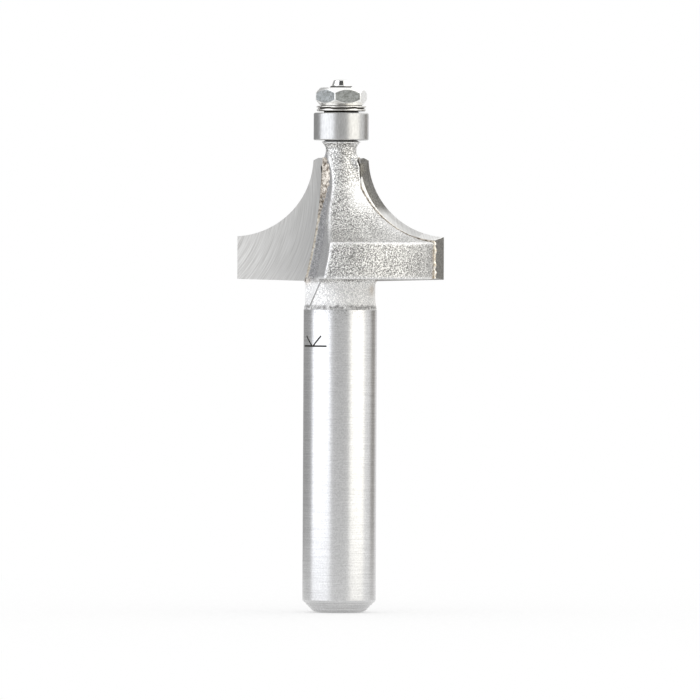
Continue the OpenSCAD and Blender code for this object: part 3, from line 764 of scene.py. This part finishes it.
# Braze bead in the gullet's corner: a hollow fillet from the tip's edge to the wall, which thins to a line
def brazeBead(turned, name):
    s = dict(low=28.95, high=39.36, film=34.4, rows=260, across=16, proud=0.012, sunk=0.05, sunkShare=0.3,
             heights=[28.9, 33.4, 34.4, 35.7, 36.5, 37.4, 38.5, 39.0, 39.36],
             climbs=[0.19, 0.19, 0.28, 0.46, 0.62, 0.82, 0.86, 0.8, 0.6], climbWave=0.12, corner=0.79,
             maxTurn=1.48, straightAt=1.17, cornerIn=0.09, tipIn=0.02, hollow=0.1, endAt=37.75, endRadius=5.3,
             rounded=(37.9, 39.0), lift=0.05, lump=0.05, lumpFrom=0.16, lumpMiddle=0.55, lumpPitch=(3.1, 4),
             climbPitch=1.3, outShare=0.7, seed=5)
    z = np.linspace(s["high"], s["low"], s["rows"])[:, None]
    v = np.linspace(0, 1, s["across"])[None]
    # climb along the wall falls from the top tongue to a thin line; corner is where the gullet floor turns up
    climb = np.interp(z, s["heights"], s["climbs"])
    climb = climb * (1 + s["climbWave"] * lumps(z * s["climbPitch"], 0 * z, s["seed"]))
    seam = seamLine(z)
    topLean = np.clip(z - s["endAt"], 0, None) ** 2 / (2 * s["endRadius"])  # the rounded end swings outwards
    turn = np.clip(climb / s["corner"], 0, s["maxTurn"])
    wallX = seam - s["cornerIn"] - s["corner"] * np.sin(turn) + topLean
    wallY = s["corner"] * (1 - np.cos(turn)) + np.clip(climb - s["straightAt"], 0, None)
    lift = s["lift"] * smoothStep(z, *s["rounded"])
    innerX, innerY = seam - s["tipIn"], s["proud"] + lift
    bendX = 0.5 * (innerX + wallX) - s["hollow"] * climb
    bendY = 0.5 * (innerY + wallY) - s["hollow"] * climb + lift
    fillX = innerX * (1 - v) ** 2 + 2 * bendX * v * (1 - v) + wallX * v ** 2
    fillY = innerY * (1 - v) ** 2 + 2 * bendY * v * (1 - v) + wallY * v ** 2
    along, across = s["lumpPitch"]
    swell = s["lumpMiddle"] + lumps(z * along, v * climb * across, s["seed"] + 1)
    swell = s["lump"] * np.sqrt(np.clip(climb - s["lumpFrom"], 0.01, 1)) * swell * np.sin(np.pi * v) ** 0.6
    front = np.stack([fillX + s["outShare"] * swell, fillY + s["outShare"] * swell, z + 0 * v], -1)
    # underside: the same rows, sunk into the steel
    sunk = s["sunk"] + s["sunkShare"] * climb * np.sin(np.pi * v)
    back = np.stack([fillX - sunk, fillY - sunk, z + 0 * v], -1)[:, ::-1]
    filmFrom = (s["high"] - s["film"]) / (s["high"] - s["low"]) * s["rows"]
    return brazePiece(name, np.concatenate([front, back], 1), turned, lambda row: row > filmFrom)


# Braze squeezed out behind a tip: a thin uneven string along the edge of the steel, blobbed on the band
def brazeString(turned, name):
    s = dict(low=28.92, bandTop=32.03, high=38.6, bandRows=110, coveRows=190, around=12, y=-1.46, thin=0.06,
             thinWave=0.35, blob=0.22, blobFade=0.6, blobMiddle=0.55, blobWave=0.45, least=0.02, taper=0.5,
             taperShare=0.8, blobPitch=1.3, thinPitch=2.2, seed=3)
    z = np.concatenate([np.linspace(s["low"], s["bandTop"], s["bandRows"]),
                        np.linspace(s["bandTop"], s["high"], s["coveRows"] + 1)[1:]])
    path = np.stack([np.sqrt(steelRadius(z) ** 2 - s["y"] ** 2), np.full(len(z), s["y"]), z], -1)
    onBand = 1 - smoothStep(z, s["bandTop"], s["bandTop"] + s["blobFade"])
    blobs = s["blobMiddle"] + s["blobWave"] * lumps(z * s["blobPitch"], 0 * z, s["seed"] + 4)
    radius = s["thin"] * (1 + s["thinWave"] * lumps(z * s["thinPitch"], 0 * z, s["seed"]))
    radius = radius + s["blob"] * onBand * np.clip(blobs, 0, 1)
    radius = np.clip(radius, s["least"], None)
    radius = radius * (1 - smoothStep(z, s["high"] - s["taper"], s["high"]) * s["taperShare"])
    along = np.gradient(path, axis=0)
    along /= np.linalg.norm(along, axis=1, keepdims=True)
    side = np.array([0, 1.0, 0])
    out = np.cross(side, along)
    a = np.linspace(0, 2 * np.pi, s["around"], endpoint=False)[None, :, None]
    points = path[:, None] + radius[:, None, None] * (np.cos(a) * side + np.sin(a) * out[:, None])
    # painted glint: the blobs on the band in the paler braze
    return brazePiece(name, points, turned, lambda row: row < s["bandRows"])


# Braze layer behind a tip: the CAD layer without its bead
def brazeLayer(node, name, openSide):
    piece = mergedCopy(node, name, brazeSilver)
    sliceAway(piece, (0, 0, 0), (0, openSide, 0))
    return piece


# Insertion mark etched on the shank: a line and a V above it, laid on the cylinder
def depthMark():
    s = dict(radius=3.175, proud=0.006, sunk=0.02, half=0.072, middle=-48.5, height=23.05, lineHalf=1.47,
             lineExtra=0.02, armIn=0.12, armLow=0.06, armOut=0.95, armTop=0.88, steps=24)
    strokes = [((-s["lineHalf"], 0), (s["lineHalf"] + s["lineExtra"], 0))]
    strokes += [((way * s["armIn"], s["armLow"]), (way * s["armOut"], s["armTop"])) for way in (-1, 1)]
    points, faces = [], []
    for start, end in strokes:
        start, end = np.array(start), np.array(end)
        side = np.array([start[1] - end[1], end[0] - start[0]]) / np.linalg.norm(end - start) * s["half"]
        middle = start + (end - start) * np.linspace(0, 1, s["steps"])[:, None]
        flat = np.stack([middle - side, middle + side, middle + side, middle - side], 1)
        r = s["radius"] + np.array([s["proud"], s["proud"], -s["sunk"], -s["sunk"]])
        angle = math.radians(s["middle"]) + flat[..., 0] / s["radius"]
        faces += tubeFaces(s["steps"], 4, first=4 * s["steps"] * len(points))
        points.append(np.stack([r * np.sin(angle), -r * np.cos(angle), s["height"] + flat[..., 1]], -1))
    piece = meshObject("depthMark", np.stack(points), faces, blackMarkAndShade, smooth=False)
    faceOutwards(piece)
    return piece


head = blastedHead()
shank = groundShank()
arbor = threadedArbor()
mark = depthMark()
for piece in (head, shank, arbor, mark):
    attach(piece, "cutter")
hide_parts("cutter_body")
print("body made")

ring = outerRing()
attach(ring, "bearing_outer")
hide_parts("bearing_outer_ring")
nut = hexNut()
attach(nut, "cutter")
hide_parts("hex_nut")
washer = lockWasher()
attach(washer, "cutter")
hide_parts("lock_washer")
for side in "ab":
    tip = carbideTip("carbide_tip_" + side, "carbideTip" + side.upper())
    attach(tip, "cutter")
    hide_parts("carbide_tip_" + side)
    layer = brazeLayer("braze_" + side, "brazeLayer" + side.upper(), -1 if side == "a" else 1)
    bead = brazeBead(side == "a", "brazeBead" + side.upper())
    string = brazeString(side == "a", "brazeString" + side.upper())
    for piece in (layer, bead, string):
        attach(piece, "cutter")
    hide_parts("braze_" + side)
print("tips, bearing and fasteners made")

# the CAD nodes that stay as they are
# the spacer washer black: painted shade in the gap between the bearing and the lock washer
finishes = {"bearing_inner_ring": steelRing, "bearing_cage": brassCage, "bearing_shield_top": shieldTin,
            "bearing_shield_bottom": shieldTin, "spacer_washer": blackMarkAndShade}
finishes.update({f"bearing_ball_{i}": ballSteel for i in range(1, 8)})
for node, finish in finishes.items():
    nodes[node].data.materials.clear()
    nodes[node].data.materials.append(finish)

# Studio: white room, two soft boxes in front, grey cards where the room is dark
studio = dict(world=1.0, floorShade="#ffffff", floorSize=0.09, floorGlow=0.4)
world = bpy.data.worlds.new("paleRoom")
bpy.context.scene.world = world
tree = emptyTree(world)
air = addNode(tree, "Background", {"Color": (1, 1, 1, 1), "Strength": studio["world"]})
addNode(tree, "OutputWorld", links={"Surface": air.outputs[0]})


def glowCard(name, azimuth, spread, low, high, distance, strength, tint):
    # upright card at an azimuth from the camera's side, seen only in reflections
    half = distance * math.tan(math.radians(spread / 2))
    corners = np.array([[-half, -distance, low], [half, -distance, low], [half, -distance, high],
                        [-half, -distance, high]])
    glow = bpy.data.materials.new(name)
    tree = emptyTree(glow)
    lamp = addNode(tree, "Emission", {"Strength": strength, "Color": linearColor(tint)})
    addNode(tree, "OutputMaterial", links={"Surface": lamp.outputs[0]})
    points = turnedAbout(*corners.T, math.radians(azimuth)) / mm
    card = meshObject(name, points, [[0, 1, 2, 3]], glow, smooth=False)
    for ray in ("camera", "diffuse", "transmission", "volume_scatter", "shadow"):
        setattr(card, "visible_" + ray, False)
    return card


# azimuth (0 is the camera's side, positive towards the right of the picture), spread in degrees,
# low and high edge and distance in metres, strength, tint
cards = {
    "softBoxLeft": (-63, 66, -0.2, 0.5, 0.50, 2.1, "#f8faff"),
    "softBoxRight": (57, 50, -0.2, 0.5, 0.50, 2.0, "#fffdf7"),
    "leftHigh": (-76, 56, 0.26, 1.5, 0.46, 2.1, "#fbfcff"),
    "rightHigh": (76, 76, 0.24, 0.54, 0.46, 2.5, "#fffefb"),
    "rightBack": (128, 44, 0.1, 0.5, 0.50, 1.45, "#ffffff"),
    "cameraGap": (1, 62, -0.2, 0.5, 0.62, 0.66, "#ffffff"),
    "cameraHigh": (-4, 72, 0.3, 1.6, 0.55, 0.1, "#ffffff"),
    "sideLeft": (-133, 72, -0.2, 1.2, 0.50, 0.42, "#ffffff"),
    "sideRight": (127, 30, -0.2, 0.1, 0.50, 0.34, "#fff8ee"),
}
for name, settings in cards.items():
    glowCard(name, *settings)
# a card laid flat over the bit
top = dict(half=0.45, height=0.7)
overhead = glowCard("softBoxTop", 0, 90, -top["half"], top["half"], top["half"], 1.0, "#ffffff")
overhead.data.transform(Matrix.Translation((0, 0, top["height"])) @ Matrix.Rotation(math.radians(90), 4, "X")
                        @ Matrix.Translation((0, top["half"], 0)))

# Floor: pale and matt, with a little glow of its own for the camera and for reflections
paper = bpy.data.materials.new("palePaper")
tree = emptyTree(paper)
matt = addNode(tree, "BsdfDiffuse", {"Color": linearColor(studio["floorShade"])})
glow = addNode(tree, "Emission")
ray = addNode(tree, "LightPath")
seen = addNode(tree, "Math", {}, {0: ray.outputs["Is Camera Ray"], 1: ray.outputs["Is Glossy Ray"]})
seen = addNode(tree, "Math", {"use_clamp": True},
               {0: seen.outputs[0], 1: ray.outputs["Is Transmission Ray"]})
share = addNode(tree, "Math", {"operation": "MULTIPLY", 1: studio["floorGlow"]}, {0: seen.outputs[0]})
sheet = addNode(tree, "MixShader", {}, {0: share.outputs[0], 1: matt.outputs[0], 2: glow.outputs[0]})
addNode(tree, "OutputMaterial", links={"Surface": sheet.outputs[0]})
size = studio["floorSize"] / mm
floor = meshObject("floor", [[-size, -size, 0], [size, -size, 0], [size, size, 0], [-size, size, 0]],
                   [[0, 1, 2, 3]], paper, smooth=False)

# Camera: level with the wings, about a metre away
view = dict(distance=0.95, height=0.033, aim=(0.00085, 0, 0.0227), width=0.06055, roll=0.27, sensor=36)
lens = bpy.data.cameras.new("camera")
lens.sensor_width = view["sensor"]
lens.lens = view["sensor"] * view["distance"] / view["width"]
lens.clip_start, lens.clip_end = 0.01, 50
camera = linkedObject("camera", lens)
spot = Vector((view["aim"][0], -view["distance"], view["height"]))
facing = (Vector(view["aim"]) - spot).to_track_quat("-Z", "Y").to_matrix().to_4x4()
camera.matrix_world = Matrix.Translation(spot) @ facing @ Matrix.Rotation(math.radians(view["roll"]), 4, "Z")
bpy.context.scene.camera = camera
bpy.context.scene.view_settings.view_transform = "Standard"
print("studio made")
